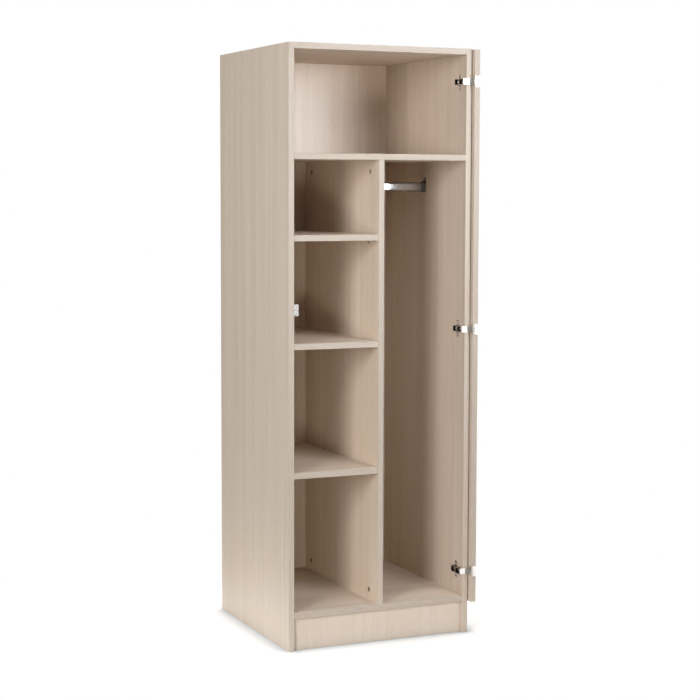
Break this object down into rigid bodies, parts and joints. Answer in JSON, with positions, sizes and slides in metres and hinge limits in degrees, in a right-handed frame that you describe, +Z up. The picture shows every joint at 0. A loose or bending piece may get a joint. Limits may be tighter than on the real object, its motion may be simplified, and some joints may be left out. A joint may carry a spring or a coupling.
{
  "type": "single-door wardrobe",
  "caption": "Free-standing single-door wardrobe of pale wood-decor board, with loose shelves on the left, a hanging rail on the right and a door that folds back against the side.",
  "frame": {"origin": "on the floor, at the middle of the wardrobe's box with the door folded back", "axes": "+Z up, -Y towards the front, +X towards the hinge side"},
  "size_m": [0.6323, 0.608, 1.8],
  "materials": {
    "melamine_board": "matte",
    "edge_band": "matte",
    "beech": "matte",
    "die_cast_zinc": "satin",
    "chromed_steel": "polished",
    "plated_steel": "satin"
  },
  "bodies": {
    "cabinet": {"back_panel": "melamine_board", "band_bottom": "edge_band", "band_fixed_shelf": "edge_band", "band_partition": "edge_band", "band_shelf_lower": "edge_band", "band_shelf_middle": "edge_band", "band_shelf_upper": "edge_band", "band_side_left": "edge_band", "band_side_right": "edge_band", "band_top": "edge_band", "bottom_panel": "melamine_board", "cam_bolts": "plated_steel", "cam_fittings": "die_cast_zinc", "dowels": "beech", "fixed_shelf": "melamine_board", "hanging_rail": "chromed_steel", "hinge_arm_lower": "die_cast_zinc", "hinge_arm_middle": "die_cast_zinc", "hinge_arm_screws": "plated_steel", "hinge_arm_upper": "die_cast_zinc", "hinge_plate_lower": "plated_steel", "hinge_plate_middle": "plated_steel", "hinge_plate_screws": "plated_steel", "hinge_plate_upper": "plated_steel", "partition": "melamine_board", "plinth_board": "melamine_board", "rail_screws": "plated_steel", "rail_socket_left": "chromed_steel", "rail_socket_right": "chromed_steel", "shelf_lower": "melamine_board", "shelf_middle": "melamine_board", "shelf_supports_lower": "plated_steel", "shelf_supports_middle": "plated_steel", "shelf_supports_upper": "plated_steel", "shelf_upper": "melamine_board", "side_panel_left": "melamine_board", "side_panel_right": "melamine_board", "strike_plate": "plated_steel", "strike_screws": "plated_steel", "top_panel": "melamine_board"},
    "door": {"band_door_bottom": "edge_band", "band_door_hinge_edge": "edge_band", "band_door_lock_edge": "edge_band", "band_door_top": "edge_band", "door_panel": "melamine_board", "hinge_cup_screws": "plated_steel", "hinge_leaf_lower": "die_cast_zinc", "hinge_leaf_middle": "die_cast_zinc", "hinge_leaf_upper": "die_cast_zinc", "hinge_pin_lower": "plated_steel", "hinge_pin_middle": "plated_steel", "hinge_pin_upper": "plated_steel", "lock_housing": "plated_steel", "lock_nut": "plated_steel"},
    "lock": {"lock_plug": "plated_steel", "lock_cam": "plated_steel", "lock_cam_screw": "plated_steel"}
  },
  "joints": [
    {"name": "door_hinge", "type": "hinge", "parent": "cabinet", "child": "door", "pos_m": [0.2865, -0.3, 0.9475], "axis": [0, 0, 1], "range_deg": [-270, 0]},
    {"name": "lock_turn", "type": "hinge", "parent": "door", "child": "lock", "pos_m": [0.2945, 0.2575, 1.02], "axis": [1, 0, 0], "range_deg": [0, 90]}
  ]
}
